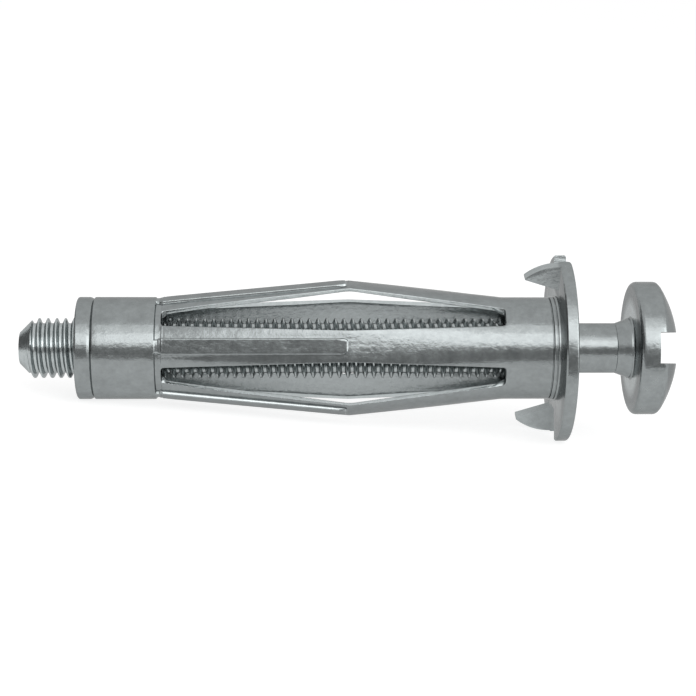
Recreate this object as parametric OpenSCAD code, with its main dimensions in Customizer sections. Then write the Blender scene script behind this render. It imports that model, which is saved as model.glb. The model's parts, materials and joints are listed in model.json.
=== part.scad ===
// Hollow wall anchor: a slotted sleeve whose legs spread behind a board when its screw is driven home.
//
// Every piece is drawn on the anchor's own axis, which is X. The outer face of the nut is at x = 0
// and the head of the screw is at the far, positive end. A turn about the axis is counted from
// straight up towards the front, -Y. The finished anchor is then laid down as it comes to rest: on
// the two corners of the flange's lower notch, and on the rim of the nut.

/* [Screw] */
// Outside diameter of the thread
thread_d = 6; // [5.4:0.1:6.6]
// Length from the underside of the head to the tip
screw_length = 62.2; // [59:0.1:68]
// Diameter of the flat end of the tip
tip_d = 3.26; // [2.5:0.02:4.5]
// Diameter of the plain shank
shank_d = 5.1; // [4.4:0.1:5.3]
// Length of the plain shank, its neck included
shank_length = 10.3; // [9:0.1:12]
// Length of the cone that joins the shank to the neck
neck_cone = 1.12; // [0.6:0.02:1.8]
// Length of the full-width neck under the head
neck_length = 0.43; // [0.2:0.01:1]
// Diameter of the head
head_d = 13.6; // [13:0.1:15]
// Height of the straight side of the head
head_side = 2.53; // [1.8:0.01:3.4]
// Height of the dome above the straight side
head_dome = 2.11; // [1.6:0.01:2.8]
// Width of the driving slot
slot_w = 3.15; // [1.5:0.05:3.6]
// Depth of the driving slot from the top of the dome
slot_depth = 2.92; // [2:0.01:3.4]
// Turn of the driving slot from the horizontal
slot_turn = 12; // [0:1:90]

/* [Nut] */
// Length of the nut
nut_length = 7.6; // [6:0.1:7.8]
// Length of the rim that the sleeve butts against
rim_length = 1.7; // [1.4:0.05:2.2]
// Length of the bevel at the sleeve's side of the rim
rim_bevel = 0.63; // [0.3:0.01:0.9]
// Depth of the seam between rim and sleeve
seam_depth = 0.11; // [0.05:0.01:0.2]
// Room between the thread and the nut's bore, on the radius
thread_room = 0.05; // [0.02:0.01:0.1]

/* [Sleeve] */
// Outside diameter of the sleeve
sleeve_d = 10.3; // [10:0.1:10.8]
// Thickness of the sleeve's sheet
sheet = 0.65; // [0.5:0.01:0.75]
// Length of the plain collar around the nut
nut_collar = 6.32; // [6.1:0.01:7]
// Length of the sunk band between the collar and the slots
sunk_band = 0.58; // [0.4:0.01:1]
// Depth to which the legs' flanks are pressed in at that band
sink = 0.245; // [0.15:0.005:0.3]
// Number of legs
legs = 5; // [4:1:5]
// Turn of the first leg
leg_turn = 3.25; // [0:0.25:20]
// Length of a leg from the sunk band to its bend
long_arm = 18.8; // [16:0.1:22]
// Length of a leg from its bend to the flange's collar
short_arm = 15.7; // [13:0.1:19]
// Height to which the bend stands out of the sleeve
bend_rise = 1.58; // [1.2:0.02:2]
// Width of a leg at its roots
root_w = 4.2; // [3.4:0.1:4.3]
// Width of a leg at its bend
waist_w = 2.8; // [2.2:0.1:3.4]
// Radius of the slots' corners
slot_corner = 0.3; // [0.1:0.05:0.35]
// Width of the rib on a leg's long arm
rib_w = 1.75; // [1.2:0.05:2]
// Length from the rib's end to the bend
rib_stop = 0.3; // [0.2:0.05:2]
// Bevel at the corners of the rib's end
rib_bevel = 0.3; // [0.1:0.05:0.5]
// Length of the plain collar next to the flange
flange_collar = 4.75; // [3.5:0.1:6]
// Length of the bead that the flange is pressed against
bead_length = 0.65; // [0.4:0.05:1]
// Height of the bead above the collar
bead_rise = 0.15; // [0.08:0.01:0.3]

/* [Claw washer] */
// Diameter of the flange
flange_d = 19; // [18:0.1:21]
// Thickness of the flange
flange_t = 1.25; // [1:0.05:1.5]
// Bevel at the flange's edge on the wall side
edge_break = 0.15; // [0.1:0.01:0.25]
// Rounding of the flange's edge on the head's side
edge_round = 0.25; // [0.1:0.01:0.4]
// Angle that each notch spans
notch_span = 24; // [18:1:28]
// Height of the claws above the flange
claw_height = 3.5; // [2.8:0.1:3.9]
// Width of the upper claw at its foot
upper_claw = 2.55; // [2.2:0.01:2.8]
// Width of the lower claw at its foot
lower_claw = 3.12; // [2.6:0.01:3.3]
// Distance of the claws' outer edge from the flange's edge
claw_inset = 0.1; // [0.05:0.01:0.2]
// Radius of the claws' curved outer edge
claw_curve = 5.5; // [5.2:0.1:7]
// Angle of the claws' straight inner edge to the axis
claw_slope = 18; // [12:1:18]
// Outer radius of the fold at the foot of a claw
fold_round = 0.6; // [0.3:0.05:0.9]

/* [Assembly] */
// Room left between the flange and the head for the fixture
fixture_gap = 6.58; // [5.5:0.01:8]

/* [Hidden] */
$fn = 96;
small = 0.1; // overlap that joins one solid to the next

// Places along the axis, each counted on from the last
x_seam = rim_length;
x_band = x_seam + nut_collar;
x_slots = x_band + sunk_band;
x_bend = x_slots + long_arm;
x_root = x_bend + short_arm;
x_bead = x_root + flange_collar;
x_flange = x_bead + bead_length;
x_face = x_flange + flange_t;
x_head = x_face + fixture_gap;
x_tip = x_head - screw_length;
x_shank = x_head - shank_length;

thread_r = thread_d / 2;
shank_r = shank_d / 2;
sleeve_r = sleeve_d / 2;
inside_r = sleeve_r - sheet;
flange_r = flange_d / 2;
head_r = head_d / 2;

// Sphere of the head's dome, through the edge of its side and its top
dome_r = (pow(head_r, 2) + pow(head_dome, 2)) / (2 * head_dome);
x_top = x_head + head_side + head_dome;
x_dome = x_top - dome_r;
head_corner = 0.25;

// Bevel at both ends of the nut's bore
lead_in = 0.35;

// Lengths of the conical step into the sunk band, and of the flare that holds the flange
step_length = 0.13;
flare = 0.55;

// The legs begin to rise just past the ends of their slots
x_rise = x_slots + 0.12;

// Radius at which the claws end, and the depth by which a notch runs past the foot of its claw
claw_top = flange_r - claw_inset;
notch_relief = 0.05;

// Radius past everything on the sleeve
reach = 2 * sleeve_r;

// The anchor lies on the flange's notch and the nut's rim, which are bevelled alike
notch_half = notch_span / 2;
lean = atan((flange_r * cos(notch_half) - sleeve_r) / x_flange);
rest_z = sleeve_r * cos(lean) - edge_break * sin(lean);
x_low = x_tip * cos(lean) - tip_d / 2 * sin(lean);
x_high = x_dome * cos(lean) + dome_r;
rest_x = -(x_low + x_high) / 2;

// Points of an arc, from one angle to another
function arc(centre, r, from, to, steps = 6) =
    [for (i = [0:steps]) centre + r * [cos(from + (to - from) * i / steps), sin(from + (to - from) * i / steps)]];

// Solid of revolution about X; its outline gives places along the axis and radii
module turned(outline) {
    rotate([0, 90, 0])
        rotate_extrude()
            polygon([for (p = outline) [p[1], p[0]]]);
}

// Lays the anchor down as it rests, centred over the origin
module at_rest() {
    translate([rest_x, 0, rest_z])
        rotate([0, -lean, 0])
            children();
}

// Machine screw with a plain shank and a domed, slotted head
module screw() {
    tip_chamfer = thread_r - tip_d / 2;
    thread_run_out = thread_r - shank_r;
    color("lightsteelblue")
        difference() {
            turned(concat(
                [[x_tip, 0], [x_tip, tip_d / 2], [x_tip + tip_chamfer, thread_r]],
                [[x_shank - thread_run_out, thread_r], [x_shank, shank_r]],
                [[x_head - neck_length - neck_cone, shank_r], [x_head - neck_length, thread_r]],
                [[x_head, thread_r]],
                arc([x_head + head_corner, head_r - head_corner], head_corner, 180, 90),
                [[x_head + head_side, head_r]],
                dome_outline()
            ));
            driving_slot();
        }
}

// Outline of the dome from the edge of the head's side to its top
function dome_outline() =
    let (edge = asin(head_r / dome_r))
    [for (i = [1:16]) [x_dome + dome_r * cos(edge * (1 - i / 16)), dome_r * sin(edge * (1 - i / 16))]];

// Slot across the head
module driving_slot() {
    rotate([-slot_turn, 0, 0])
        translate([x_top - slot_depth, -head_d, -slot_w / 2])
            cube([slot_depth + small, 2 * head_d, slot_w]);
}

// Threaded end bush: its rim closes the sleeve and its body is held inside it
module nut() {
    bore_r = thread_r + thread_room;
    color("silver")
        turned([
            [lead_in, bore_r],
            [0, bore_r + lead_in],
            [0, sleeve_r - edge_break],
            [edge_break, sleeve_r],
            [rim_length - rim_bevel, sleeve_r],
            [rim_length, sleeve_r - seam_depth],
            [rim_length, inside_r],
            [nut_length - lead_in, inside_r],
            [nut_length, inside_r - lead_in],
            [nut_length, bore_r + lead_in],
            [nut_length - lead_in, bore_r]
        ]);
}

// Rolled sheet sleeve: two collars joined by legs that are already bent outwards
module sleeve() {
    color("lightgray")
        rotate([leg_turn, 0, 0])
            difference() {
                turned(sleeve_outline());
                pressed_flanks();
                slots();
            }
}

// Outline of the whole sleeve, with the long arms as thick as at their ribs, which end in a step
function sleeve_outline() =
    let (
        bead_bevel = bead_rise / 2,
        flare_turn = sheet * tan(22.5),
        step = rib_stop / 2,
        long_share = (long_arm - step) / long_arm
    )
    [
        [x_seam, inside_r],
        [x_seam, sleeve_r - seam_depth],
        [x_seam + seam_depth, sleeve_r],
        [x_rise, sleeve_r],
        [x_bend - step, sleeve_r + (bend_rise + sink) * long_share],
        [x_bend - step, sleeve_r + bend_rise * (1 + step / short_arm)],
        [x_root, sleeve_r],
        [x_bead, sleeve_r],
        [x_bead, sleeve_r + bead_rise - bead_bevel],
        [x_bead + bead_bevel, sleeve_r + bead_rise],
        [x_flange, sleeve_r + bead_rise],
        [x_flange, sleeve_r],
        [x_face - flare, sleeve_r],
        [x_face, sleeve_r + flare],
        [x_face, inside_r + flare - flare_turn],
        [x_face - flare + flare_turn, inside_r],
        [x_root, inside_r],
        [x_bend, inside_r + bend_rise],
        [x_rise, inside_r - sink],
        [x_band + step_length, inside_r - sink],
        [x_band, inside_r]
    ];

// What is pressed in beside the ribs: the sunk band and both flanks of every long arm. The cut
// leaves the sleeve at the bend, where it comes out of the short arm.
module pressed_flanks() {
    past = 0.2;
    climb = (bend_rise + sink) / (x_bend - x_rise);
    difference() {
        turned([
            [x_band - step_length, sleeve_r + sink],
            [x_band + step_length, sleeve_r - sink],
            [x_rise, sleeve_r - sink],
            [x_bend + past, sleeve_r + bend_rise + climb * past],
            [x_bend + past, reach],
            [x_band - step_length, reach]
        ]);
        for_each_leg()
            rib_block();
    }
}

// What is punched out between the legs
module slots() {
    for_each_leg()
        for (side = [0, 1])
            mirror([0, side, 0])
                half_slot();
}

// Front half of a slot, beside the leg that stands straight up. It is widest just short of the
// bend, and it runs a little past the slot's middle, into the half that the next leg cuts.
module half_slot() {
    w = root_w / 2;
    c = slot_corner;
    span = 180 / legs + 2;
    intersection() {
        linear_extrude(height = 2 * reach)
            polygon(concat(
                [[x_slots, -reach]],
                arc([x_slots + c, -w - c], c, 180, 90),
                [[x_bend - small, -waist_w / 2]],
                arc([x_root - c, -w - c], c, 90, 0),
                [[x_root, -reach]]
            ));
        translate([x_slots - 1, 0, 0])
            rotate([90, 0, 90])
                linear_extrude(height = x_root - x_slots + 2)
                    polygon([[0, 0], [0, 2 * reach], [-2 * reach * sin(span), 2 * reach * cos(span)]]);
    }
}

module for_each_leg() {
    for (i = [0:legs - 1])
        rotate([360 / legs * i, 0, 0])
            children();
}

// Block with the outline of a rib from above, bevelled at its end
module rib_block() {
    start = x_band - 1;
    stop = x_bend - rib_stop;
    w = rib_w / 2;
    linear_extrude(height = 2 * reach)
        polygon([
            [start, -w],
            [stop - rib_bevel, -w],
            [stop, rib_bevel - w],
            [stop, w - rib_bevel],
            [stop - rib_bevel, w],
            [start, w]
        ]);
}

// Stamped flange with two claws that are folded out of it and bite into the wall
module claw_washer() {
    color("gainsboro")
        difference() {
            union() {
                flange();
                claw(upper_claw);
                rotate([180, 0, 0])
                    claw(lower_claw);
            }
            notch(upper_claw);
            rotate([180, 0, 0])
                notch(lower_claw);
        }
}

// Round plate, countersunk for the sleeve's flare; its hole is bevelled to clear the bead's edge
module flange() {
    hole_bevel = bead_rise + 0.05;
    turned(concat(
        [[x_flange + hole_bevel, sleeve_r], [x_flange, sleeve_r + hole_bevel]],
        [[x_flange, flange_r - edge_break], [x_flange + edge_break, flange_r]],
        arc([x_face - edge_round, flange_r - edge_round], edge_round, 90, 0),
        [[x_face, sleeve_r + flare], [x_face - flare, sleeve_r]]
    ));
}

// Opening that a claw leaves at the top of the flange. Its front wall is the claw's back too, so
// it is cut through both of them, and it ends a little below the claw.
module notch(claw_width) {
    root = claw_top - claw_width;
    inner = root - notch_relief;
    outer = flange_r + 1;
    side = [sin(notch_half), cos(notch_half)];
    translate([x_flange - claw_height - 1, 0, 0])
        rotate([90, 0, 90])
            linear_extrude(height = claw_height + flange_t + 2)
                polygon([
                    [-inner * side[0], inner * side[1]],
                    [inner * side[0], inner * side[1]],
                    [outer * side[0], outer * side[1]],
                    [-outer * side[0], outer * side[1]]
                ]);
    fold_rounding(root);
}

// Claw at the front edge of the upper notch: straight inside, curved outside
module claw(claw_width) {
    foot = flange_t / 3;
    root = claw_top - claw_width;
    centre = [x_flange, claw_top - claw_curve];
    tip_angle = 90 + asin(claw_height / claw_curve);
    tip_inner = [x_flange - claw_height, root + claw_height * tan(claw_slope)];
    rotate([notch_half, 0, 0])
        translate([0, small, 0])
            rotate([90, 0, 0])
                linear_extrude(height = flange_t + small)
                    polygon(concat(
                        [[x_flange + foot, root], [x_flange + foot, claw_top]],
                        arc(centre, claw_curve, 90, tip_angle, 12),
                        [tip_inner, [x_flange, root]]
                    ));
}

// Rounds the edge between the flange's face and the wall of the notch that the claw is folded from
module fold_rounding(root) {
    x_fold = x_face - fold_round;
    past = 0.09;
    over = 0.03;
    rotate([notch_half, 0, 0])
        translate([0, 0, root])
            linear_extrude(height = flange_r + 1 - root)
                polygon(concat(
                    [[x_fold - past, over]],
                    arc([x_fold, -fold_round], fold_round, 80, 10),
                    [[x_face + over, -fold_round - past], [x_face + 1, -fold_round - past], [x_face + 1, over]]
                ));
}

at_rest() screw();
at_rest() nut();
at_rest() sleeve();
at_rest() claw_washer();
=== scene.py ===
import json
import math

import bmesh
import bpy
from mathutils import Matrix, Vector


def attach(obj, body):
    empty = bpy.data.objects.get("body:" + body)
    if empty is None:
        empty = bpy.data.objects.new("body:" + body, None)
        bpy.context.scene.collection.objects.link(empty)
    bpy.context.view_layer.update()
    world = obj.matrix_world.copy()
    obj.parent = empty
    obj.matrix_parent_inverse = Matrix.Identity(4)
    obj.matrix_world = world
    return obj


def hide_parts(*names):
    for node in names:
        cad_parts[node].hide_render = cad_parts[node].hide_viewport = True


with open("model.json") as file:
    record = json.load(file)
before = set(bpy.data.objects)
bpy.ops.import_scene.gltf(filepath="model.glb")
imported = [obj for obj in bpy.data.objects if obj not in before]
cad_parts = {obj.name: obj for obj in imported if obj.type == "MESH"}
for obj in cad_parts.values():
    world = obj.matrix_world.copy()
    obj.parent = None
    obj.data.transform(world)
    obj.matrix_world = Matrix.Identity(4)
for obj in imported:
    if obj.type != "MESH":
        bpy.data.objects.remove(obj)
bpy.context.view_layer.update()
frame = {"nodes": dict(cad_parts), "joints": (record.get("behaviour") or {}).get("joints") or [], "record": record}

# Sizes are in millimetres, in the anchor's own frame: X runs along its axis, from the outer face of
# the nut at 0 towards the head, and an angle about the axis counts from straight up towards -Y.
MM = 0.001
WELD = 0.0005  # vertices closer than this are one
SEGMENTS = 72  # of a full turn
STATIONS = 12  # rows of the thread to a turn

# Screw
PITCH = 0.883
CREST_R = 3.05
ROOT_R = 2.53
THREAD_CREST = -4.131  # place of one crest on the side of +Y, where its turns start
SHANK_R = 2.55
TIP_X = -5.87
TIP_R = 1.63
THREAD_END = 46.03
SHANK_MIDDLE_X = 50.4
NECK_X = 54.7
NECK_WIDE_X = 56.05
NECK_FILLET = 0.18
HEAD_X = 56.33
HEAD_R = 6.8
HEAD_SIDE = 2.53
HEAD_DOME = 2.11
SLOT_W = 3.15
SLOT_DEPTH = 2.75
SLOT_TURN = 12
SLOT_EDGE = 0.07  # width of the rounding at the slot's edges

# Nut
NUT_END = 7.6
RIM_END = 1.7
BORE_R = 3.1
BORE_GROOVE_R = 3.42
BORE_LEAD = 0.35  # chamfer at both ends of the bore
SEAM_DEPTH = 0.18
RIM_EDGE = 0.22  # rounding at the rim's outer edge

# Sleeve
SLEEVE_R = 5.2
SHEET = 0.65
INSIDE_R = SLEEVE_R - SHEET
SINK = 0.245
LEGS = 5
LEG_TURN = 4.6
BAND_X = 8.02
SLOTS_X = 8.60
RISE_X = 8.72
BEND_X = 27.4
LEG_END = 43.1
BEAD_X = 47.85
BEND_RISE = 1.58
ROOT_HALF = 2.1
WAIST_HALF = 1.575
SLOT_CORNER = 0.3
RIB_HALF = 0.8
RIB_CORNER = 0.3
RIB_END = BEND_X - 0.3
SLEEVE_EDGE = 0.16  # rounding beside the nut's rim
GROOVE_R = 5.1
SECOND_GROOVE_R = 5.17
BEAD_R = 5.3
FLARE_R = 5.15  # where the sleeve passes through the washer
FLARE = 0.55

# Claw washer
FLANGE_X = 48.5
FLANGE_T = 1.25
FACE_X = FLANGE_X + FLANGE_T
NOTCH_HALF = 12
CLAW_TOP = 9.4
LOWER_CLAW = 3.12
LOWER_CLAW_TURN = 180
LOWER_CLAW_CUT = 0.45
CLAW_SLOPE = 18
WASHER_EDGE = 0.06  # width of the rounding at its sharp edges

# Shares by which the plating's color is lightened, as painted light. They stand in for light thrown to and fro
# between faces close together (painted bounce light), for painted highlights on the claws and the thread's ridges,
# and on the punched walls and rib edges partly for bare steel, partly for painted highlight.
PUNCHED_BARE_AND_PAINTED_HIGHLIGHT = 0.9
SLOT_END_BARE_AND_PAINTED_HIGHLIGHT = 0.2
RIB_EDGE_BARE_AND_PAINTED_HIGHLIGHT = 0.6
INSIDE_PAINTED_BOUNCE_LIGHT = 0.4
CLAW_PAINTED_LIGHT = 0.5
WASHER_HOLE_PAINTED_BOUNCE_LIGHT = 0.6
HEAD_UNDERSIDE_PAINTED_BOUNCE_LIGHT = 1.2
BETWEEN_RIDGES_PAINTED_BOUNCE_LIGHT = 0.95
RIDGE_PAINTED_LIGHT = 0.25

# Where the anchor lies: along the travel of its screw, through the middle of the collar that fits
# the hole in the wall
COLLAR_MIDDLE = 5.265
axis = Vector(frame["joints"][0]["axis"]).normalized()
across = Vector((0, 1, 0))
above = axis.cross(across)
mounts = {mount["name"]: mount for mount in frame["record"]["mounts"]}
origin = Vector(mounts["wall_hole"]["pos_m"]) - axis * COLLAR_MIDDLE * MM
to_rest = (
    Matrix.Translation(origin)
    @ Matrix((axis, across, above)).transposed().to_4x4()
    @ Matrix.Scale(MM, 4)
)


def link(name, mesh):
    """A new object with this mesh."""
    obj = bpy.data.objects.new(name, mesh)
    bpy.context.scene.collection.objects.link(obj)
    return obj


def polar(x, r, angle):
    """Point at a place along the axis, a radius and an angle, counted from up towards -Y."""
    turn = math.radians(angle)
    return Vector((x, -r * math.sin(turn), r * math.cos(turn)))


def arc(centre, r, start, end, steps=5):
    """Points of an arc in a plane, from one angle to another."""
    angles = [math.radians(start + (end - start) * i / steps) for i in range(steps + 1)]
    return [(centre[0] + r * math.cos(a), centre[1] + r * math.sin(a)) for a in angles]


def bevel_sharp(bm, edges, width, segments=2):
    """Rounds these edges, so that each one catches the light."""
    bmesh.ops.bevel(bm, geom=edges, offset=width, offset_type="OFFSET", segments=segments,
                    profile=0.6, affect="EDGES", clamp_overlap=True)


def finished(name, bm, material, body, node, sharp_from=32):
    """Closes a piece, lays it down where the anchor rests and hands it to its body."""
    bmesh.ops.remove_doubles(bm, verts=bm.verts, dist=WELD)
    bmesh.ops.recalc_face_normals(bm, faces=bm.faces)
    mesh = bpy.data.meshes.new(name)
    bm.to_mesh(mesh)
    bm.free()
    mesh.transform(to_rest)
    mesh.materials.clear()
    mesh.materials.append(material)
    mesh.shade_smooth()
    mesh.set_sharp_from_angle(angle=math.radians(sharp_from))
    obj = link(name, mesh)
    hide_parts(node)
    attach(obj, body)
    return obj


# ---------------------------------------------------------------- node trees
def new_tree(name, lengths, counts):
    """A geometry tree with named inputs for lengths, counts and a material. Gives the tree, the
    outputs of its input node by name, and its output node."""
    tree = bpy.data.node_groups.new(name, "GeometryNodeTree")
    face = tree.interface
    face.new_socket("Geometry", in_out="INPUT", socket_type="NodeSocketGeometry")
    for size in lengths:
        face.new_socket(size, in_out="INPUT", socket_type="NodeSocketFloat")
    for size in counts:
        face.new_socket(size, in_out="INPUT", socket_type="NodeSocketInt")
    face.new_socket("Steel", in_out="INPUT", socket_type="NodeSocketMaterial")
    face.new_socket("Geometry", in_out="OUTPUT", socket_type="NodeSocketGeometry")
    return tree, tree.nodes.new("NodeGroupInput").outputs, tree.nodes.new("NodeGroupOutput")


def join(tree, socket, value):
    """Feeds a node's input from another node's output, or sets it to a plain value."""
    if isinstance(value, bpy.types.NodeSocket):
        tree.links.new(value, socket)
    else:
        socket.default_value = value


def math_node(tree, operation, *values):
    """A Math node with these inputs; gives its result."""
    node = tree.nodes.new("ShaderNodeMath")
    node.operation = operation
    for socket, value in zip(node.inputs, values):
        join(tree, socket, value)
    return node.outputs[0]


def grown(name, start_mesh, tree, sizes):
    """The plain mesh that a tree makes with these sizes."""
    obj = link(name, start_mesh)
    modifier = obj.modifiers.new(name, "NODES")
    modifier.node_group = tree
    for item in tree.interface.items_tree:
        if item.item_type == "SOCKET" and item.in_out == "INPUT" and item.name in sizes:
            modifier[item.identifier] = sizes[item.name]
    depsgraph = bpy.context.evaluated_depsgraph_get()
    mesh = bpy.data.meshes.new_from_object(obj.evaluated_get(depsgraph))
    bpy.data.objects.remove(obj)
    return mesh


def thread_tree():
    """Tube about X with a right-hand thread: rows follow the helix, and both ends are square."""
    lengths = ["Pitch", "Thread Radius", "Plain Radius", "Crest"]
    lengths += ["Start", "Start Radius", "End", "End Radius"]
    tree, size, result = new_tree("rolled thread", lengths, ["Turns", "Stations", "Segments"])
    rows = math_node(tree, "MULTIPLY", size["Turns"], size["Stations"])
    grid = tree.nodes.new("GeometryNodeMeshGrid")
    join(tree, grid.inputs["Size X"], 1.0)
    join(tree, grid.inputs["Size Y"], 1.0)
    join(tree, grid.inputs["Vertices X"], math_node(tree, "ADD", rows, 1))
    join(tree, grid.inputs["Vertices Y"], math_node(tree, "ADD", size["Segments"], 1))
    spot = tree.nodes.new("ShaderNodeSeparateXYZ")
    join(tree, spot.inputs[0], tree.nodes.new("GeometryNodeInputPosition").outputs[0])
    along = math_node(tree, "MULTIPLY", math_node(tree, "ADD", spot.outputs["X"], 0.5), size["Turns"])
    round_share = math_node(tree, "ADD", spot.outputs["Y"], 0.5)

    # Place along the axis: a row starts a pitch before the thread's start and climbs one pitch a turn
    lead = math_node(tree, "SUBTRACT", size["Start"], size["Crest"])
    lead = math_node(tree, "FLOOR", math_node(tree, "DIVIDE", lead, size["Pitch"]))
    turn = math_node(tree, "ADD", math_node(tree, "ADD", along, round_share), lead)
    turn = math_node(tree, "SUBTRACT", turn, 1.5)
    x = math_node(tree, "MULTIPLY_ADD", turn, size["Pitch"], size["Crest"])
    x = math_node(tree, "MINIMUM", math_node(tree, "MAXIMUM", x, size["Start"]), size["End"])

    # Height of the thread: 0 between the crests, 1 on them, round in between
    half = math_node(tree, "MULTIPLY_ADD", math_node(tree, "FRACT", along), 2.0, -1.0)
    ridge = tree.nodes.new("ShaderNodeMapRange")
    ridge.interpolation_type = "SMOOTHSTEP"
    join(tree, ridge.inputs["Value"], math_node(tree, "ABSOLUTE", half))
    for socket, value in (("From Min", 0.1), ("From Max", 0.78), ("To Min", 1.0), ("To Max", 0.0)):
        join(tree, ridge.inputs[socket], value)
    depth = math_node(tree, "SUBTRACT", size["Thread Radius"], size["Plain Radius"])
    r = math_node(tree, "MULTIPLY_ADD", ridge.outputs["Result"], depth, size["Plain Radius"])

    # The start is chamfered at 45 degrees, and the last turns run out into the plain end
    chamfer = math_node(tree, "ADD", math_node(tree, "SUBTRACT", x, size["Start"]), size["Start Radius"])
    r = math_node(tree, "MINIMUM", r, chamfer)
    fade = tree.nodes.new("ShaderNodeMapRange")
    fade.interpolation_type = "SMOOTHSTEP"
    join(tree, fade.inputs["Value"], math_node(tree, "SUBTRACT", size["End"], x))
    join(tree, fade.inputs["From Max"], math_node(tree, "MULTIPLY", size["Pitch"], 1.5))
    r = math_node(tree, "SUBTRACT", r, size["End Radius"])
    r = math_node(tree, "MULTIPLY_ADD", r, fade.outputs["Result"], size["End Radius"])

    angle = math_node(tree, "MULTIPLY", round_share, math.tau)
    place = tree.nodes.new("ShaderNodeCombineXYZ")
    join(tree, place.inputs["X"], x)
    join(tree, place.inputs["Y"], math_node(tree, "MULTIPLY", r, math_node(tree, "COSINE", angle)))
    join(tree, place.inputs["Z"], math_node(tree, "MULTIPLY", r, math_node(tree, "SINE", angle)))
    shaped = tree.nodes.new("GeometryNodeSetPosition")
    join(tree, shaped.inputs["Geometry"], grid.outputs["Mesh"])
    join(tree, shaped.inputs["Position"], place.outputs[0])
    merged = tree.nodes.new("GeometryNodeMergeByDistance")
    join(tree, merged.inputs["Geometry"], shaped.outputs["Geometry"])
    join(tree, merged.inputs["Distance"], WELD)

    # Painted bounce light between the ridges, and a painted lift on them; the material reads this
    groove = math_node(tree, "MULTIPLY_ADD", ridge.outputs["Result"],
                       RIDGE_PAINTED_LIGHT - BETWEEN_RIDGES_PAINTED_BOUNCE_LIGHT, BETWEEN_RIDGES_PAINTED_BOUNCE_LIGHT)
    kept = tree.nodes.new("GeometryNodeStoreNamedAttribute")
    join(tree, kept.inputs["Geometry"], merged.outputs["Geometry"])
    join(tree, kept.inputs["Name"], "lighter")
    join(tree, kept.inputs["Value"], groove)
    real = tree.nodes.new("GeometryNodeRealizeInstances")
    join(tree, real.inputs["Geometry"], kept.outputs["Geometry"])
    coated = tree.nodes.new("GeometryNodeSetMaterial")
    join(tree, coated.inputs["Geometry"], real.outputs["Geometry"])
    join(tree, coated.inputs["Material"], size["Steel"])
    join(tree, result.inputs["Geometry"], coated.outputs["Geometry"])
    return tree


def ring_tree():
    """Copies of one sector side by side round the X axis, welded into a closed ring."""
    tree, size, result = new_tree("legs round the axis", ["Turn"], ["Count"])
    line = tree.nodes.new("GeometryNodeMeshLine")
    join(tree, line.inputs["Count"], size["Count"])
    join(tree, line.inputs["Offset"], (0, 0, 0))
    step = math_node(tree, "DIVIDE", math.tau, size["Count"])
    index = tree.nodes.new("GeometryNodeInputIndex").outputs[0]
    first = math_node(tree, "RADIANS", size["Turn"])
    turn = tree.nodes.new("ShaderNodeCombineXYZ")
    join(tree, turn.inputs["X"], math_node(tree, "MULTIPLY_ADD", index, step, first))
    copies = tree.nodes.new("GeometryNodeInstanceOnPoints")
    join(tree, copies.inputs["Points"], line.outputs["Mesh"])
    join(tree, copies.inputs["Instance"], size["Geometry"])
    join(tree, copies.inputs["Rotation"], turn.outputs[0])
    real = tree.nodes.new("GeometryNodeRealizeInstances")
    join(tree, real.inputs["Geometry"], copies.outputs["Instances"])
    merged = tree.nodes.new("GeometryNodeMergeByDistance")
    join(tree, merged.inputs["Geometry"], real.outputs["Geometry"])
    join(tree, merged.inputs["Distance"], 0.002)
    coated = tree.nodes.new("GeometryNodeSetMaterial")
    join(tree, coated.inputs["Geometry"], merged.outputs["Geometry"])
    join(tree, coated.inputs["Material"], size["Steel"])
    join(tree, result.inputs["Geometry"], coated.outputs["Geometry"])
    return tree


# ------------------------------------------------------------------- screw
def supported(outline, gap=0.05):
    """The outline with a point near both ends of every long straight part, which keeps it even."""
    points = outline[:1]
    for (x0, r0), (x1, r1) in zip(outline, outline[1:]):
        length = math.hypot(x1 - x0, r1 - r0)
        shares = (gap / length, 1 - gap / length, 1) if length > 4 * gap else (1,)
        points += [(x0 + (x1 - x0) * share, r0 + (r1 - r0) * share) for share in shares]
    return points


def lathe(bm, outline, segments=SEGMENTS):
    """Skin of revolution about X. A point on the axis closes it; its seam lies on +Y, as a thread's."""
    rings = []
    for x, r in supported(outline):
        if r == 0:
            rings.append([bm.verts.new((x, 0, 0))])
        else:
            turns = [math.tau * k / segments for k in range(segments)]
            rings.append([bm.verts.new((x, r * math.cos(t), r * math.sin(t))) for t in turns])
    for first, second in zip(rings, rings[1:]):
        for k in range(segments):
            following = (k + 1) % segments
            corners = [first[k % len(first)], first[following % len(first)],
                       second[following % len(second)], second[k % len(second)]]
            bm.faces.new(list(dict.fromkeys(corners)))
    return rings


def head_outline():
    """From the end of the thread along the shank and the neck, round the head to the top of its dome."""
    top = HEAD_X + HEAD_SIDE + HEAD_DOME
    dome_r = (HEAD_R**2 + HEAD_DOME**2) / (2 * HEAD_DOME)
    dome_x = top - dome_r
    under, edge = 0.55, 0.45
    fillet = NECK_FILLET
    start = math.degrees(math.asin((HEAD_R - edge * 0.75) / dome_r))
    return (
        [(THREAD_END, SHANK_R), (SHANK_MIDDLE_X, SHANK_R), (NECK_X - 0.06, SHANK_R)]
        + [(NECK_X - 0.02, SHANK_R - 0.03), (NECK_X + 0.03, SHANK_R + 0.01)]
        + [(NECK_WIDE_X, CREST_R)]
        + arc((HEAD_X - fillet, CREST_R + fillet), fillet, -90, 0, 4)
        + [(HEAD_X, 4.2), (HEAD_X, 5.4)]
        + arc((HEAD_X + under, HEAD_R - under), under, 180, 90, 6)
        + [(HEAD_X + HEAD_SIDE - edge * 0.7, HEAD_R)]
        + [(HEAD_X + HEAD_SIDE - edge * 0.3, HEAD_R - 0.03), (HEAD_X + HEAD_SIDE, HEAD_R - 0.1)]
        + arc((dome_x, 0), dome_r, start, 1.2, 14)
        + [(top, 0)]
    )


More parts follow.
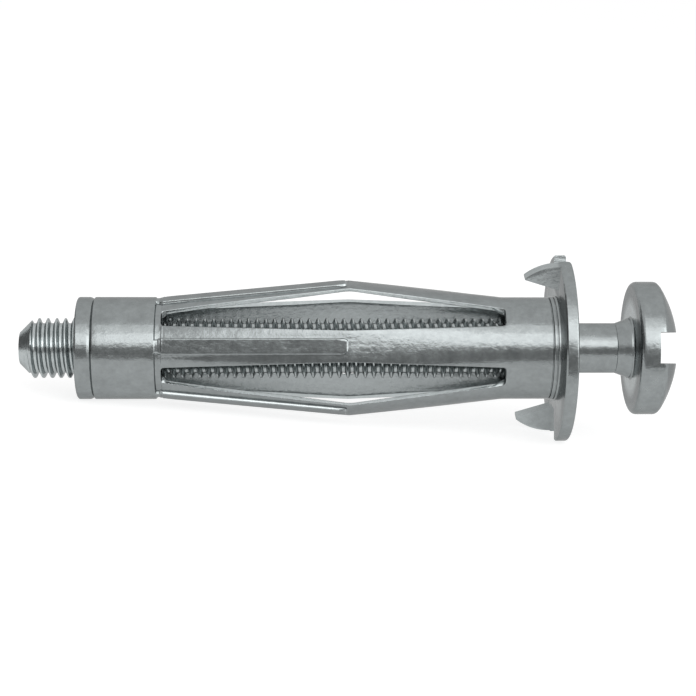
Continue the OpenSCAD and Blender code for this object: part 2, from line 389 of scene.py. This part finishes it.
def cut_slot(obj):
    """Cuts the driving slot across the head and gives its mesh back."""
    bottom = HEAD_X + HEAD_SIDE + HEAD_DOME - SLOT_DEPTH
    length = 6  # of the cutter, well past the dome
    bm = bmesh.new()
    bmesh.ops.create_cube(bm, size=1)
    bmesh.ops.scale(bm, vec=(length, 4 * HEAD_R, SLOT_W), verts=bm.verts)
    bmesh.ops.translate(bm, vec=(bottom + length / 2, 0, 0), verts=bm.verts)
    bmesh.ops.rotate(bm, matrix=Matrix.Rotation(math.radians(-SLOT_TURN), 3, "X"), verts=bm.verts)
    mesh = bpy.data.meshes.new("slot cutter")
    bm.to_mesh(mesh)
    bm.free()
    cutter = link("slot cutter", mesh)
    cut = obj.modifiers.new("slot", "BOOLEAN")
    cut.operation = "DIFFERENCE"
    cut.solver = "EXACT"
    cut.object = cutter
    depsgraph = bpy.context.evaluated_depsgraph_get()
    made = bpy.data.meshes.new_from_object(obj.evaluated_get(depsgraph))
    bpy.data.objects.remove(obj)
    bpy.data.objects.remove(cutter)
    return made


def make_screw(thread_maker, steel):
    """Screw: rolled thread, plain shank, neck and slotted head, as one closed skin."""
    turns = math.ceil((THREAD_END - TIP_X) / PITCH) + 3
    sizes = {
        "Pitch": PITCH, "Thread Radius": CREST_R, "Plain Radius": ROOT_R, "Start": TIP_X,
        "Start Radius": TIP_R, "End": THREAD_END, "End Radius": SHANK_R, "Crest": THREAD_CREST,
        "Turns": turns, "Stations": STATIONS, "Segments": SEGMENTS, "Steel": steel,
    }
    thread = grown("thread", bpy.data.meshes.new("thread"), thread_maker, sizes)
    bm = bmesh.new()
    bm.from_mesh(thread)
    lathe(bm, [(TIP_X, 0), (TIP_X, TIP_R - 0.12), (TIP_X, TIP_R)])
    lathe(bm, head_outline())
    lighter = bm.verts.layers.float["lighter"]
    # Painted bounce light on the underside of the head, which mirrors the dark shank
    for vert in bm.verts:
        if abs(vert.co.x - HEAD_X) < 0.01 and 3.25 < math.hypot(vert.co.y, vert.co.z) < 4.5:
            vert[lighter] = HEAD_UNDERSIDE_PAINTED_BOUNCE_LIGHT
    bmesh.ops.remove_doubles(bm, verts=bm.verts, dist=WELD)
    bmesh.ops.recalc_face_normals(bm, faces=bm.faces)
    mesh = bpy.data.meshes.new("screw")
    bm.to_mesh(mesh)
    bm.free()
    slotted = cut_slot(link("screw blank", mesh))
    bm = bmesh.new()
    bm.from_mesh(slotted)
    slot_edges = [
        edge for edge in bm.edges
        if min(v.co.x for v in edge.verts) > HEAD_X + 1 and edge.calc_face_angle(0) > math.radians(30)
    ]
    bevel_sharp(bm, slot_edges, SLOT_EDGE)
    return finished("machine_screw", bm, steel, "screw", "screw")


# --------------------------------------------------------------------- nut
def make_nut(thread_maker, steel):
    """Nut: the rim that closes the sleeve, the body held inside it and a threaded bore."""
    lead = BORE_LEAD
    start, end = lead, NUT_END - lead
    turns = math.ceil((end - start) / PITCH) + 3
    sizes = {
        "Pitch": PITCH, "Thread Radius": BORE_GROOVE_R, "Plain Radius": BORE_R, "Start": start,
        "Start Radius": BORE_R, "End": end, "End Radius": BORE_R, "Crest": THREAD_CREST,
        "Turns": turns, "Stations": STATIONS, "Segments": SEGMENTS, "Steel": steel,
    }
    bore = grown("bore", bpy.data.meshes.new("bore"), thread_maker, sizes)
    bm = bmesh.new()
    bm.from_mesh(bore)
    seam_r = SLEEVE_R - SEAM_DEPTH
    edge = RIM_EDGE
    lathe(bm, [(start, BORE_R), (0.03, BORE_R + lead - 0.03), (0, BORE_R + lead + 0.03), (0, 4.2)]
          + arc((edge, SLEEVE_R - edge), edge, 180, 90, 6)
          + [(RIM_END - 0.46, SLEEVE_R), (RIM_END - 0.42, SLEEVE_R - 0.006)]
          + [(RIM_END - 0.37, SLEEVE_R - 0.024), (RIM_END - 0.14, seam_r + 0.05)]
          + [(RIM_END - 0.09, seam_r), (RIM_END, seam_r - 0.05)]
          + [(RIM_END, INSIDE_R), (end, INSIDE_R), (NUT_END, INSIDE_R - lead)]
          + [(NUT_END, BORE_R + lead), (end, BORE_R)])
    return finished("end_nut", bm, steel, "anchor", "nut")


# ------------------------------------------------------------------ sleeve
# Rounded edge of the sleeve beside the nut's rim
SLEEVE_END = arc((RIM_END + SLEEVE_EDGE, SLEEVE_R - SLEEVE_EDGE), SLEEVE_EDGE, 180, 90, 5)

# Heights of an edge that is pressed in the sheet: how far out of the edge, and the share of the
# step that is left there. It is round above, steep in the middle and hollow at its foot.
PRESSED_EDGE = (
    (-0.13, 1.0), (-0.08, 0.985), (-0.045, 0.93), (-0.02, 0.84), (-0.006, 0.72), (0.002, 0.42),
    (0.01, 0.12), (0.028, 0.03), (0.06, 0.0),
)
# The same for the collar's end, which is rounder
COLLAR_EDGE = (
    (-0.2, 1.0), (-0.14, 0.975), (-0.09, 0.9), (-0.05, 0.78), (-0.02, 0.6), (0.01, 0.35),
    (0.04, 0.15), (0.08, 0.04), (0.13, 0.0),
)
# Edges that were punched: distance from the slot's wall and depth under the sheet's surface
PUNCHED_EDGE = ((0.0, 0.08), (0.01, 0.04), (0.035, 0.012), (0.1, 0.0))


def between(table, at):
    """Value of a table of (place, value) at a place, with straight lines between its rows."""
    if at <= table[0][0]:
        return table[0][1]
    for (a, low), (b, high) in zip(table, table[1:]):
        if at <= b:
            return low + (high - low) * (at - a) / (b - a)
    return table[-1][1]


def eased(x, corner, before, after, ease):
    """Height beside a bend between two slopes, rounded over a short length on both sides of it."""
    from_bend = x - corner
    if abs(from_bend) >= ease:
        return from_bend * (before if from_bend < 0 else after)
    return before * from_bend + (after - before) * (from_bend + ease)**2 / (4 * ease)


# Height over the sunk band at the start of the legs' flanks: a small ridge
FLANK_START = (
    (8.3, -0.05), (8.575, -0.05), (8.628, -0.035), (8.691, 0.03), (8.758, 0.01), (8.828, 0.005),
)

CREASE_X = BEND_X + 0.08
CLIMB = (BEND_RISE + SINK) / (CREASE_X - RISE_X)
FALL = -BEND_RISE / (LEG_END - CREASE_X)
BAND_EDGE = BAND_X - 0.02


def step_left(x):
    """Share of the collar's height that is left where the band is sunk."""
    return between(COLLAR_EDGE, x - BAND_EDGE)


def flank_r(x):
    """Radius of the pressed surface of the sleeve, ribs left out."""
    if x < 2:
        return between(SLEEVE_END, x)
    if x < BAND_X + 0.3:
        return SLEEVE_R - (SINK + 0.05) * (1 - step_left(x))
    if x < RISE_X + 0.12:
        return SLEEVE_R - SINK + between(FLANK_START, x)
    if x < (RISE_X + BEND_X) / 2:
        return SLEEVE_R - SINK + eased(x, RISE_X, 0, CLIMB, 0.12)
    if x < (BEND_X + LEG_END) / 2:
        return SLEEVE_R + BEND_RISE + eased(x, CREASE_X, CLIMB, FALL, 0.08)
    if x < BEAD_X - 1:
        return SLEEVE_R + eased(x, LEG_END, FALL, 0, 0.15)
    return between(HUB, x)


# Thickness that the sheet has lost along the legs and, most of all, at their bends
THINNED = (
    (RISE_X, 0.0), (RISE_X + 1, 0.12), (CREASE_X - 6, 0.15), (CREASE_X - 0.6, 0.28),
    (CREASE_X + 0.6, 0.28), (CREASE_X + 6, 0.15), (LEG_END - 1, 0.12), (LEG_END, 0.0),
)
# Share of their roundness that the legs have lost
FLATTENED = (
    (RISE_X, 0.0), (RISE_X + 6, 0.35), (CREASE_X, 0.75), (CREASE_X + 4, 0.55), (LEG_END, 0.0),
)


def inner_r(x):
    """Radius of the inside of the sleeve."""
    thinned = between(THINNED, x)
    if x < RISE_X:
        return INSIDE_R - SINK * min(max((x - BAND_X) / 0.13, 0), 1)
    if x < (RISE_X + CREASE_X) / 2:
        return INSIDE_R - SINK + CLIMB * (x - RISE_X) + thinned
    if x < LEG_END:
        return INSIDE_R + BEND_RISE + eased(x, CREASE_X, CLIMB, FALL, 0.5) + thinned
    return INSIDE_R + max(x - (FACE_X - FLARE / 2), 0)


# Outside of the hub, from its plain part over two fine grooves and the bead to the flare
HUB = (
    (BEAD_X - 1, SLEEVE_R), (47.74, SLEEVE_R), (47.79, GROOVE_R), (BEAD_X, GROOVE_R),
    (47.89, BEAD_R - 0.04), (47.94, BEAD_R), (48.17, BEAD_R), (48.21, BEAD_R - 0.03),
    (48.235, SECOND_GROOVE_R), (48.29, SECOND_GROOVE_R), (48.315, BEAD_R - 0.03),
    (48.35, BEAD_R), (48.49, BEAD_R), (FLANGE_X, FLARE_R), (FACE_X - FLARE, FLARE_R),
    (FACE_X - FLARE / 2, FLARE_R + FLARE / 2), (FACE_X, FLARE_R + FLARE),
)

# Rib: its outline is a long round-ended bar, and the slope at its end is twice as long as at its sides
RIB_START = BAND_X + 0.25
RIB_TIP = RIB_END + 0.07
RIB_TIP_SLOPE = 0.42
RIB_TILT = 0.035


def rib_left(x, y):
    """Share of the rib's height at a place on a leg, 1 on its top and 0 beside it."""
    start = min(RIB_START - x, -0.045)
    over_x = max((x - RIB_TIP) * RIB_TIP_SLOPE, start) + RIB_CORNER
    over_y = abs(y) - RIB_HALF + RIB_CORNER
    out = math.hypot(max(over_x, 0), max(over_y, 0)) + min(max(over_x, over_y), 0) - RIB_CORNER
    return between(PRESSED_EDGE, out)


def outside(x, y, depth):
    """Height of a leg's outside over the axis, a little under the surface at its punched edges."""
    r = flank_r(x)
    rib = rib_left(x, y) * (1 - step_left(x))
    flattened = max(between(FLATTENED, x), 0.95 * rib * min(max((x - BAND_X) / 1.5, 0), 1))
    sag = r - math.sqrt(r * r - y * y)
    return r - sag * (1 - flattened) + (SINK + RIB_TILT * y) * rib - depth


def leg_half(x):
    """Half the width of a leg between its slots, without the slots' corners."""
    if x < BEND_X:
        share = (BEND_X - x) / (BEND_X - SLOTS_X - SLOT_CORNER)
    else:
        share = (x - BEND_X) / (LEG_END - SLOT_CORNER - BEND_X)
    return WAIST_HALF + (ROOT_HALF - WAIST_HALF) * min(share, 1)


RIB_COLUMNS = (
    [0, 0.2, 0.4, RIB_HALF - RIB_CORNER, 0.63, 0.68]
    + [RIB_HALF + out for out, _ in PRESSED_EDGE]
)
FLANK_COLUMNS = 3
RINGS = len(PUNCHED_EDGE) - 1
FAN = 2  # vertices of a slot's corner between its diagonal and its straight sides
GAP_COLUMNS = 3
GAP = 10  # added to the place of a vertex that lies between two legs; no leg is that wide
EDGE_COLUMN = len(RIB_COLUMNS) + FLANK_COLUMNS + RINGS - 1
LAST_COLUMN = EDGE_COLUMN + FAN + GAP_COLUMNS
HALF_SECTOR = math.pi / LEGS


def fan_angle(ring, step):
    """Angle at a slot's corner: 45 degrees on its diagonal, 0 where its straight side begins."""
    return math.radians(45) * (1 - step / (ring + FAN))


def sector_rows():
    """Rows of the sector from left to right. Each is (kind, number): "plain" rows cross the whole
    sector and "leg" rows a leg, both at a place along the axis. "ring" rows follow a ring round the
    slot, and "fan" rows lead from its corner across the leg; their ends are -1 or 1."""
    head = [x for x, _ in SLEEVE_END] + [2.6, 4.2, 5.8, 7.2, 7.7]
    head += [BAND_EDGE + out for out, _ in COLLAR_EDGE]
    head += [RIB_START - out for out, _ in reversed(PRESSED_EDGE)]
    leg = [9.1, 9.4] + [9.9 + 0.85 * i for i in range(20)]
    leg += [26.4] + [RIB_TIP + out / RIB_TIP_SLOPE for out, _ in PRESSED_EDGE]
    leg += [CREASE_X - 0.04, CREASE_X, CREASE_X + 0.04, CREASE_X + 0.08, 27.75, 28.1]
    leg += [28.7 + 0.9 * i for i in range(16)]
    tail = [LEG_END + 0.28, 44.2, 45.4, 46.5] + [x for x, _ in HUB]
    rows = [("plain", x, 0) for x in head]
    rows += [("ring", ring, -1) for ring in range(RINGS, -1, -1)]
    rows += [("fan", step, -1) for step in range(1, FAN + 1)]
    rows += [("leg", x, 0) for x in leg]
    rows += [("fan", step, 1) for step in range(FAN, 0, -1)]
    rows += [("ring", ring, 1) for ring in range(RINGS + 1)]
    return rows + [("plain", x, 0) for x in tail]


def corner_point(ring, step, end, along):
    """Place beside a slot's corner, on the ring at this distance from it, a number of steps from
    its diagonal: along the leg, or round the sleeve."""
    distance = SLOT_CORNER + PUNCHED_EDGE[ring][0]
    turn = fan_angle(ring, step)
    far, near = distance * math.cos(turn), distance * math.sin(turn)
    if along:
        far, near = near, far
    centre_x = SLOTS_X + SLOT_CORNER if end < 0 else LEG_END - SLOT_CORNER
    return centre_x + end * far, ROOT_HALF + SLOT_CORNER - near


def flat_place(row, column):
    """Place (x, y, ring) of a vertex of the sector. In the gap between two legs, y is the share of
    the way from the slot's corner to the next sector, plus GAP."""
    kind, number, end = row
    ring = EDGE_COLUMN - column
    last_ring = EDGE_COLUMN - RINGS
    if column < last_ring:
        x, edge, _ = flat_place(row, last_ring)
        if column < len(RIB_COLUMNS):
            return x, RIB_COLUMNS[column], RINGS
        share = (column + 1 - len(RIB_COLUMNS)) / (FLANK_COLUMNS + 1)
        return x, RIB_COLUMNS[-1] + (edge - RIB_COLUMNS[-1]) * share, RINGS
    if column > EDGE_COLUMN + FAN:
        share = (column - EDGE_COLUMN - FAN) / GAP_COLUMNS
        if kind == "plain":
            return number, GAP + share, RINGS
        x = SLOTS_X if end < 0 else LEG_END
        return x + end * PUNCHED_EDGE[number][0], GAP + share, number
    if kind == "leg":
        return number, leg_half(number) - PUNCHED_EDGE[ring][0], ring
    if kind == "plain":
        return number, corner_point(RINGS, RINGS - ring, end, False)[1], RINGS
    if kind == "fan":
        return *corner_point(ring, ring + number, end, True), ring
    if ring > number:
        return *corner_point(ring, ring - number, end, True), ring
    return *corner_point(number, number - ring, end, False), number


def lighter_at(row, column, outer):
    """Share by which the sheet's color is lightened at a vertex: painted bounce light inside, and on the punched
    walls and rib edges partly bare steel, partly painted highlight.
    """
    x, y, ring = flat_place(row, abs(column))
    if ring == 0:
        in_slot = SLOTS_X + 2 * SLOT_CORNER < x < LEG_END - 2 * SLOT_CORNER
        return PUNCHED_BARE_AND_PAINTED_HIGHLIGHT if in_slot else SLOT_END_BARE_AND_PAINTED_HIGHLIGHT
    if outer:
        share = rib_left(x, y) if y < GAP else 0
        return RIB_EDGE_BARE_AND_PAINTED_HIGHLIGHT * (1 - abs(2 * share - 1)**3) * (1 - step_left(x))
    return INSIDE_PAINTED_BOUNCE_LIGHT


def sector_vertex(row, column, outer):
    """Vertex of the outer or the inner skin of the sector. Columns below 0 mirror those above."""
    x, y, ring = flat_place(row, abs(column))
    depth = PUNCHED_EDGE[ring][1]
    r = flank_r(x) if outer else inner_r(x)
    if y >= GAP:
        corner = math.asin((ROOT_HALF + SLOT_CORNER) / r)
        turn = corner + (HALF_SECTOR - corner) * (y - GAP)
        r = r - depth if outer else r + depth
        y, z = r * math.sin(turn), r * math.cos(turn)
    elif outer:
        z = outside(x, math.copysign(y, column), depth)
    else:
        if row[0] == "leg":
            y *= r / flank_r(x)
        z = r - (r - math.sqrt(r * r - y * y)) * (1 - between(FLATTENED, x)) + depth
    return Vector((x, math.copysign(y, column), z))


def sleeve_sector():
    """Skin of one leg with its share of both collars, open only where it meets the next leg's."""
    rows = sector_rows()
    first = rows.index(("ring", 0, -1))
    last = rows.index(("ring", 0, 1))
    bm = bmesh.new()
    lighter = bm.verts.layers.float.new("lighter")
    made = {}

    def corner(i, j, outer):
        """Vertex of row i and column j, made when it is first asked for."""
        if (i, j, outer) not in made:
            made[i, j, outer] = bm.verts.new(sector_vertex(rows[i], j, outer))
            made[i, j, outer][lighter] = lighter_at(rows[i], j, outer)
        return made[i, j, outer]

    def strip(a, b):
        """Joins the outer skin to the inner one between two neighbouring places."""
        bm.faces.new([corner(*a, True), corner(*b, True), corner(*b, False), corner(*a, False)])

    for j in range(-LAST_COLUMN, LAST_COLUMN):
        in_gap = j >= EDGE_COLUMN or j + 1 <= -EDGE_COLUMN
        for i in range(len(rows) - 1):
            if in_gap and first <= i < last:
                continue
            for outer in (True, False):
                bm.faces.new([corner(i, j, outer), corner(i + 1, j, outer),
                              corner(i + 1, j + 1, outer), corner(i, j + 1, outer)])
        ends = [0, len(rows) - 1] + ([first, last] if in_gap else [])
        for i in ends:
            strip((i, j), (i, j + 1))
    for i in range(first, last):
        for j in (-EDGE_COLUMN, EDGE_COLUMN):
            strip((i, j), (i + 1, j))
    mesh = bpy.data.meshes.new("leg sector")
    bm.to_mesh(mesh)
    bm.free()
    return mesh


def make_sleeve(steel):
    """Sleeve: two collars joined by five ribbed legs, as one closed sheet."""
    sizes = {"Count": LEGS, "Turn": float(LEG_TURN), "Steel": steel}
    ring = grown("ring of legs", sleeve_sector(), ring_tree(), sizes)
    bm = bmesh.new()
    bm.from_mesh(ring)
    return finished("leg_sleeve", bm, steel, "anchor", "sleeve")


# ------------------------------------------------------------- claw washer
def narrow_claw(bm, width, turn, less):
    """Moves the straight inner edge of a claw outwards along its own plane."""
    outwards = polar(0, 1, turn + NOTCH_HALF)
    for vert in bm.verts:
        height = FLANGE_X - vert.co.x
        edge = CLAW_TOP - width + height * math.tan(math.radians(CLAW_SLOPE))
        if height > -0.01 and abs(vert.co.dot(outwards) - edge) < 0.02:
            vert.co += outwards * less


def make_claw_washer(steel):
    """Claw washer: the stamped plate with its folded claws, every sharp edge a little rounded."""
    plain = frame["nodes"]["claw_washer"]
    bm = bmesh.new()
    bm.from_mesh(plain.data)
    bm.transform(to_rest.inverted() @ plain.matrix_world)
    bmesh.ops.remove_doubles(bm, verts=bm.verts, dist=WELD)
    narrow_claw(bm, LOWER_CLAW, LOWER_CLAW_TURN, LOWER_CLAW_CUT)
    lighter = bm.verts.layers.float.new("lighter")
    # Painted light: the claws lightened, and painted bounce light round the hole
    for vert in bm.verts:
        vert[lighter] = CLAW_PAINTED_LIGHT if vert.co.x < FLANGE_X - 0.3 else 0
        if abs(vert.co.x - FLANGE_X) < 0.1 and math.hypot(vert.co.y, vert.co.z) < 6:
            vert[lighter] = WASHER_HOLE_PAINTED_BOUNCE_LIGHT
    bmesh.ops.dissolve_limit(bm, angle_limit=math.radians(0.8), verts=bm.verts, edges=bm.edges)
    sharp = [edge for edge in bm.edges if edge.calc_face_angle(0) > math.radians(38)]
    bevel_sharp(bm, sharp, WASHER_EDGE)
    washer = finished("flange_and_claws", bm, steel, "anchor", "claw_washer", 20)
    # Two plated faces that mirror each other look far too dark, so the hub doesn't mirror the washer
    washer.visible_glossy = False


# --------------------------------------------------------------- materials
LEAN = math.atan2(axis.z, axis.x)
GRAY = (0.262, 0.282, 0.284)


def shader(tree, kind, **settings):
    """A shader node with its inputs set by name, from a value or from another node's output."""
    node = tree.nodes.new(kind)
    for name, value in settings.items():
        join(tree, node.inputs[name.replace("_", " ")], value)
    return node


def ramp(tree, value, low, high, bottom=0.0, top=1.0):
    """Maps a value between two places on a line to a number between two others."""
    node = shader(tree, "ShaderNodeMapRange", Value=value)
    for socket, number in (("From Min", low), ("From Max", high), ("To Min", bottom), ("To Max", top)):
        node.inputs[socket].default_value = number
    return node.outputs["Result"]


def zinc_plate(name, roughness, mottle, seed, shade=GRAY):
    """Zinc-plated steel: cool gray, with the blotches and the fine unevenness of the plating. The attribute
    "lighter" holds the share by which its color is lightened, which is painted light: painted bounce light in
    hollows and painted highlights, partly bare steel at punched edges."""
    material = bpy.data.materials.new(name)
    material.use_nodes = True
    tree = material.node_tree
    surface = tree.nodes["Principled BSDF"]
    place = tree.nodes.new("ShaderNodeTexCoord").outputs["Object"]
    along = shader(tree, "ShaderNodeMapping", Vector=place, Rotation=(0, LEAN, 0),
                   Location=(0.013 * seed, 0, 0)).outputs[0]
    drawn = shader(tree, "ShaderNodeMapping", Vector=along, Scale=(0.1, 1, 1)).outputs[0]
    blotches = shader(tree, "ShaderNodeTexNoise", Vector=along, Scale=700.0, Detail=4.0,
                      Roughness=0.6).outputs["Fac"]
    spots = shader(tree, "ShaderNodeTexNoise", Vector=along, Scale=2300.0, Detail=3.0,
                   Roughness=0.55).outputs["Fac"]
    streaks = shader(tree, "ShaderNodeTexNoise", Vector=drawn, Scale=3200.0, Detail=3.0,
                     Roughness=0.5).outputs["Fac"]
    worn = math_node(tree, "ADD", ramp(tree, blotches, 0.35, 0.65, -0.5, 0.5),
                     ramp(tree, spots, 0.3, 0.7, -0.4, 0.4))
    color = shader(tree, "ShaderNodeMix")
    color.data_type = "RGBA"
    join(tree, color.inputs["Factor"], ramp(tree, worn, -0.9, 0.9))
    darker = [channel * 0.86 for channel in shade] + [1]
    lighter = [channel * 1.12 for channel in shade] + [1]
    join(tree, color.inputs["A"], darker)
    join(tree, color.inputs["B"], lighter)
    # Painted light from the attribute: painted bounce light and painted highlights, partly bare steel
    bare_and_painted_light = tree.nodes.new("ShaderNodeAttribute")
    bare_and_painted_light.attribute_name = "lighter"
    strength = math_node(tree, "ADD", bare_and_painted_light.outputs["Fac"], 1.0)
    tinted = tree.nodes.new("ShaderNodeVectorMath")
    tinted.operation = "SCALE"
    join(tree, tinted.inputs[0], color.outputs["Result"])
    join(tree, tinted.inputs["Scale"], strength)
    join(tree, surface.inputs["Base Color"], tinted.outputs[0])
    surface.inputs["Metallic"].default_value = 1.0
    surface.inputs["Specular Tint"].default_value = (0.6, 0.6, 0.6, 1)
    uneven = math_node(tree, "MULTIPLY_ADD", worn, 0.05, roughness)
    join(tree, surface.inputs["Roughness"], uneven)
    height = math_node(tree, "MULTIPLY_ADD", spots, 0.5, math_node(tree, "MULTIPLY", blotches, 1.4))
    height = math_node(tree, "MULTIPLY_ADD", streaks, 0.25, height)
    bump = shader(tree, "ShaderNodeBump", Height=height, Distance=mottle)
    join(tree, surface.inputs["Normal"], bump.outputs[0])
    return material


def seen_white(name, color, share):
    """A pale matt surface that looks white to the camera and in the steel, but takes a shadow."""
    material = bpy.data.materials.new(name)
    material.use_nodes = True
    tree = material.node_tree
    surface = tree.nodes["Principled BSDF"]
    surface.inputs["Base Color"].default_value = (*color, 1)
    surface.inputs["Roughness"].default_value = 1.0
    surface.inputs["Specular IOR Level"].default_value = 0.0
    surface.inputs["Emission Color"].default_value = (1, 1, 1, 1)
    join(tree, surface.inputs["Emission Strength"],
         math_node(tree, "MULTIPLY", looked_at(tree), share))
    return material


def looked_at(tree):
    """1 for what the camera sees, directly, in a mirror or through glass."""
    ray = tree.nodes.new("ShaderNodeLightPath").outputs
    seen = math_node(tree, "MAXIMUM", ray["Is Camera Ray"], ray["Is Glossy Ray"])
    return math_node(tree, "MAXIMUM", seen, ray["Is Transmission Ray"])


# ------------------------------------------------------------------- stage
def place_at(x, y, z):
    """A place beside the anchor, in millimetres along, across and above its axis."""
    return to_rest @ Vector((x, y, z))


def make_floor():
    """A wide sheet of pale paper that the anchor lies on."""
    size = 9.0
    mesh = bpy.data.meshes.new("floor")
    mesh.from_pydata([(-size, -size, 0), (size, -size, 0), (size, size, 0), (-size, size, 0)],
                     [], [(0, 1, 2, 3)])
    mesh.materials.append(seen_white("white paper", color=(0.4, 0.4, 0.4), share=0.8))
    floor = link("floor", mesh)


def make_card(name, corners, faces, brightness):
    """A gray card beside the anchor that only the steel sees."""
    mesh = bpy.data.meshes.new(name)
    mesh.from_pydata(corners, [], faces)
    material = bpy.data.materials.new(name)
    material.use_nodes = True
    surface = material.node_tree.nodes["Principled BSDF"]
    surface.inputs["Base Color"].default_value = (0.05, 0.05, 0.05, 1)
    surface.inputs["Roughness"].default_value = 1.0
    surface.inputs["Specular IOR Level"].default_value = 0.0
    surface.inputs["Emission Color"].default_value = (1, 1, 1, 1)
    surface.inputs["Emission Strength"].default_value = brightness
    mesh.materials.append(material)
    card = link(name, mesh)
    card.visible_camera = False
    card.visible_diffuse = False
    card.visible_shadow = False


def make_cards():
    """Cards in front on the floor and upright, on the floor behind, and at the tip's side."""
    low, left, right = 0.0002, -0.4, 0.15
    near, far, top = -0.03, -0.2, 0.062
    make_card("front_card", [(left, near, low), (right, near, low), (right, far, low),
                             (left, far, low), (right, far, top), (left, far, top)],
              [(0, 1, 2, 3), (3, 2, 4, 5)], 0.34)
    make_card("back_card", [(left, 0.014, low), (0.4, 0.014, low), (0.4, 0.4, low),
                            (left, 0.4, low)], [(0, 1, 2, 3)], 0.88)
    near, far = -0.06, -0.16
    make_card("tip_card", [(near, -0.19, low), (near, 0.12, low), (far, 0.12, low),
                           (far, -0.19, low), (far, 0.12, 0.12), (far, -0.19, 0.12)],
              [(0, 1, 2, 3), (3, 2, 4, 5)], 0.12)


def make_lamp(name, size, turn, elevation, radiance, distance=0.5, shift=0.0):
    """A soft lamp aimed at the anchor, turned from its front towards the head, or shifted that way."""
    data = bpy.data.lights.new(name, "AREA")
    data.shape = "RECTANGLE"
    data.size, data.size_y = size
    data.energy = radiance * math.pi * size[0] * size[1]
    lamp = bpy.data.objects.new(name, data)
    bpy.context.scene.collection.objects.link(lamp)
    rise, side = math.radians(elevation), math.radians(turn)
    away = Vector((math.sin(side) * math.cos(rise), -math.cos(side) * math.cos(rise), math.sin(rise)))
    lamp.location = away * distance + Vector((shift, 0, 0))
    lamp.rotation_euler = away.to_track_quat("Z", "Y").to_euler()


def make_world():
    """Plain white surroundings, brighter where the camera or the steel looks at them."""
    world = bpy.data.worlds.new("studio")
    world.use_nodes = True
    tree = world.node_tree
    background = tree.nodes["Background"]
    background.inputs["Color"].default_value = (1, 1, 1, 1)
    join(tree, background.inputs["Strength"],
         math_node(tree, "MULTIPLY_ADD", looked_at(tree), 0.5, 0.5))
    bpy.context.scene.world = world


def make_camera():
    """A long lens far in front of the anchor, 12 degrees above it, with its axis level in view."""
    data = bpy.data.cameras.new("camera")
    data.lens = 98.83
    data.sensor_width = 36
    data.clip_start = 0.01
    data.clip_end = 20
    camera = bpy.data.objects.new("camera", data)
    bpy.context.scene.collection.objects.link(camera)
    turn = math.radians(12)
    reach = 195
    spot = place_at(21.5, -reach * math.cos(turn), reach * math.sin(turn))
    look = (place_at(27.4, 0, 0) - spot).normalized()
    right = (axis - look * axis.dot(look)).normalized()
    up = right.cross(look)
    pose = Matrix((right, up, -look)).transposed().to_4x4()
    pose.translation = spot
    camera.matrix_world = pose
    bpy.context.scene.camera = camera


rolled_thread = thread_tree()
make_screw(rolled_thread, zinc_plate("zinc on the screw", roughness=0.24, mottle=2.6e-5, seed=1))
make_nut(rolled_thread, zinc_plate("zinc on the nut", roughness=0.22, mottle=2.4e-5, seed=2))
make_sleeve(zinc_plate("zinc on the sleeve", roughness=0.22, mottle=2.8e-5, seed=3))
make_claw_washer(zinc_plate("zinc on the washer", roughness=0.24, mottle=2.8e-5, seed=4))

make_floor()
make_cards()
make_lamp("softbox", size=(1.2, 0.24), turn=0, elevation=33, radiance=1.75, shift=0.45)
make_lamp("upper_softbox", size=(1.2, 0.17), turn=0, elevation=56, radiance=0.8, shift=0.45)
make_lamp("side_box", size=(0.42, 0.32), turn=62, elevation=24, radiance=1.0)
make_world()
make_camera()
bpy.context.scene.view_settings.view_transform = "Standard"
